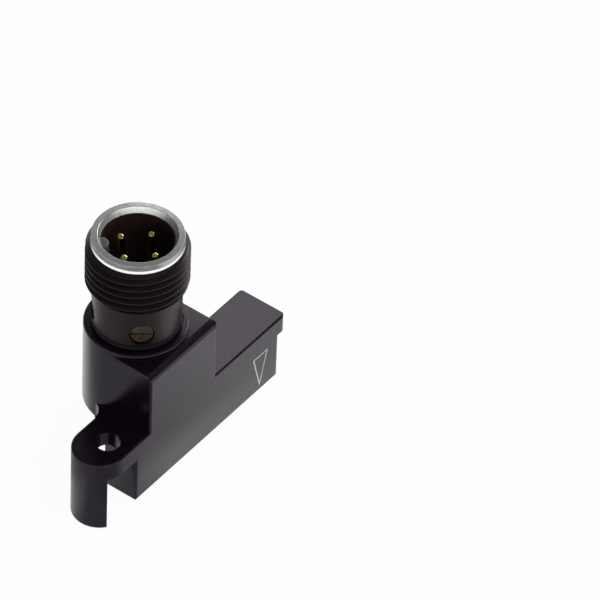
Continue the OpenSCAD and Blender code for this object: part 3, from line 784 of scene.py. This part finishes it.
def make_windows():
    """A round amber stud for each hole."""
    bm = bmesh.new()
    for turn in WINDOW_TURNS:
        add_window(bm, turn)
    print("open edges in the studs:", close_ends(bm))
    return finish_piece(bm, "light_guide_ring", amber, ["light_guide"])


light_guide = make_windows()

# %% A fine slot across each window
SLOT_W, SLOT_LENGTH, SLOT_DEPTH, SLOT_TILT = 0.26, 4, 0.30, math.radians(-7)


def slot_tool():
    """Four thin blocks that lie across the windows' faces."""
    bm = bmesh.new()
    size = Matrix.Diagonal((SLOT_W * MM, SLOT_LENGTH * MM, 2 * SLOT_DEPTH * MM, 1))
    for turn in WINDOW_TURNS:
        place = window_frame(turn, WINDOW_FACE_R) @ Matrix.Rotation(SLOT_TILT, 4, "Z")
        bmesh.ops.create_cube(bm, size=1, matrix=place @ size)
    return bm


subtract(light_guide, slot_tool())


# %% The ring behind the windows
GUIDE_BORE, GUIDE_TOP, GUIDE_STEPS = 3.9, 13.2, 96


def add_ring(piece):
    """Adds the ring inside the shank to the mesh of its four studs."""
    bm = bmesh.new()
    bm.from_mesh(piece.data)
    section = [(GUIDE_BORE, GUIDE_Z), (GUIDE_R, GUIDE_Z), (GUIDE_R, GUIDE_TOP), (GUIDE_BORE, GUIDE_TOP)]
    spin_profile(bm, section, GUIDE_STEPS)
    bmesh.ops.recalc_face_normals(bm, faces=bm.faces)
    bm.to_mesh(piece.data)
    bm.free()
    shade_smooth(piece.data)
    print(piece.name, len(piece.data.polygons), "faces with the ring")


add_ring(light_guide)

# %% [markdown]
# ## The bright rim
#
# The plug ends in a rim of nickel-plated brass. It has a nearly level top, an upright wall that
# flares a little at its foot, and a bore that opens outwards like a funnel. The light shows this
# shape: the funnel and the flare mirror the white far end of the table, and the top and the wall
# are grey. So the rim is spun from an exact section, and the bevel operator takes the sharpness
# off its two upper corners, as the plating does. The funnel's faces get a brighter, satin finish.

# %% The rim and the tube below it
RIM_Z, RIM_R, RIM_FOOT = 22.7, 5.33, 21.6
RIM_DROP, FLARE_Z, FLARE_R = 0.04, 21.93, 5.40
FUNNEL_TOP, FUNNEL_FOOT, FUNNEL_Z, FUNNEL_MARGIN = 4.60, 4.27, 21.95, 0.03
RIM_EDGE, FUNNEL_EDGE, RIM_EDGE_STEPS = 0.03, 0.04, 3
RIM_STEPS = 160
SAME_PLACE = 1e-6


def round_ring(bm, r, z, size):
    """Rounds the spun ring that lies at a radius and a height, all in mm."""
    ring = [e for e in bm.edges if all(
        abs(math.hypot(v.co.x - PLUG_X, v.co.y - PLUG_Y) - r * MM) < SAME_PLACE
        and abs(v.co.z - z * MM) < SAME_PLACE for v in e.verts)]
    round_edges(bm, ring, size, RIM_EDGE_STEPS)


def make_rim():
    """The rim with its flared foot, its funnel and the tube that lines the barrel."""
    bm = bmesh.new()
    section = [(SLEEVE_R0, MOUTH_Z), (SLEEVE_R1, MOUTH_Z), (SLEEVE_R1, RIM_FOOT),
               (FLARE_R, RIM_FOOT), (RIM_R, FLARE_Z), (RIM_R, RIM_Z - RIM_DROP),
               (FUNNEL_TOP, RIM_Z), (FUNNEL_FOOT, FUNNEL_Z), (SLEEVE_R0, FUNNEL_Z)]
    spin_profile(bm, section, RIM_STEPS)
    round_ring(bm, RIM_R, RIM_Z - RIM_DROP, RIM_EDGE)
    round_ring(bm, FUNNEL_TOP, RIM_Z, FUNNEL_EDGE)
    piece = finish_piece(bm, "bright_rim", nickel, ["rim_sleeve"], sharp=SHARP_FINE)
    piece.data.materials.append(satin_nickel)
    for face in piece.data.polygons:
        reach = (face.center - Vector((PLUG_X, PLUG_Y, face.center.z))).length
        if reach < (FUNNEL_TOP - FUNNEL_MARGIN) * MM and face.center.z > FUNNEL_Z * MM:
            face.material_index = 1


make_rim()

# %% [markdown]
# ## The key
#
# A round-nosed rib inside the mouth lets the socket in at one turn only. It ends a little below
# the rim and is duller than it. A spun shape can't have a rib at one place, so the key is a piece
# of its own: a circle that is cut off flat where it meets the wall and extruded, with its upper
# edge bevelled into a soft nose.

# %% The round-nosed key
KEY_TURN = math.radians(135)
KEY_NOSE_R, KEY_NOSE_AT, KEY_WALL, KEY_TOP = 0.95, 4.22, 4.6, 21.94
KEY_STEPS, KEY_EDGE, KEY_EDGE_STEPS = 48, 0.28, 6


def make_key():
    """A rib with a round nose, from the mouth's floor up to just below the rim."""
    bm = bmesh.new()
    place = (Matrix.Translation((PLUG_X, PLUG_Y, MOUTH_Z * MM)) @ Matrix.Rotation(KEY_TURN, 4, "Z")
             @ Matrix.Translation((KEY_NOSE_AT * MM, 0, 0)))
    bmesh.ops.create_circle(bm, cap_ends=True, segments=KEY_STEPS, radius=KEY_NOSE_R * MM)
    for v in bm.verts:
        v.co.x = min(v.co.x, (KEY_WALL - KEY_NOSE_AT) * MM)
    bmesh.ops.transform(bm, matrix=place, verts=bm.verts)
    top = extrude(bm, bm.faces[:], (0, 0, (KEY_TOP - MOUTH_Z) * MM))
    round_edges(bm, top, KEY_EDGE, KEY_EDGE_STEPS)
    finish_piece(bm, "mouth_key", dull_nickel, ["rim_sleeve"])


make_key()

# %% [markdown]
# ## The arrow
#
# The arrow on the block is engraved, and its groove is filled with light grey paint. The block's
# material could draw it, but a thin piece keeps crisp edges from near too. It is a triangle that
# is inset to an outline and extruded, so that it lies in the groove just below the face.

# %% Paint in the arrow's groove
BLOCK_FRONT_Y = -2.80
ARROW_X, ARROW_TOP_Z = 24.95, -3.4
ARROW_W, ARROW_H, ARROW_LINE = 2.85, 5.1, 0.22
GROOVE, PAINT_T = 0.12, 0.10


def make_arrow_paint():
    """A thin triangular outline in the arrow's groove."""
    bm = bmesh.new()
    y = (BLOCK_FRONT_Y + GROOVE) * MM
    corners = [(-ARROW_W / 2, 0), (0, -ARROW_H), (ARROW_W / 2, 0)]
    verts = [bm.verts.new(((ARROW_X + x) * MM, y, (ARROW_TOP_Z + z) * MM)) for x, z in corners]
    face = bm.faces.new(verts)
    face.normal_update()
    bmesh.ops.inset_individual(bm, faces=[face], thickness=ARROW_LINE * MM, use_even_offset=True)
    bmesh.ops.delete(bm, geom=[face], context="FACES_ONLY")
    extrude(bm, bm.faces[:], (0, -PAINT_T * MM, 0))
    finish_piece(bm, "arrow_paint", paint)


make_arrow_paint()

# %% [markdown]
# ## The marking field
#
# The raised box in front of the collar has a shallow rectangular field for a marking. It holds a
# thin bare film that lies flush with the face. The film is one grid face, moved into the recess,
# extruded to its thickness and bevelled very slightly, so that its outline is a hairline.

# %% The bare film in the marking field
FILM_LOW, FILM_HIGH = Vector((5.3, 0, -2.1)), Vector((15.8, 0, 7.65))
FILM_FACE_Y, FILM_T = -2.95, 0.04
FILM_EDGE, FILM_EDGE_STEPS = 0.006, 2


def make_film():
    """A thin flush film in the recess of the marking field."""
    bm = bmesh.new()
    centre, size = (FILM_LOW + FILM_HIGH) / 2, FILM_HIGH - FILM_LOW
    place = Matrix.Translation(Vector((centre.x, FILM_FACE_Y + FILM_T, centre.z)) * MM)
    lie = Matrix.Rotation(math.pi / 2, 4, "X")
    scale = Matrix.Diagonal((size.x * MM / 2, size.z * MM / 2, 1, 1))
    bmesh.ops.create_grid(bm, x_segments=1, y_segments=1, size=1, matrix=place @ lie @ scale)
    front = extrude(bm, bm.faces[:], (0, -FILM_T * MM, 0))
    round_edges(bm, front, FILM_EDGE, FILM_EDGE_STEPS)
    finish_piece(bm, "marking_film", housing_plastic, sharp=SHARP_FINE)


make_film()
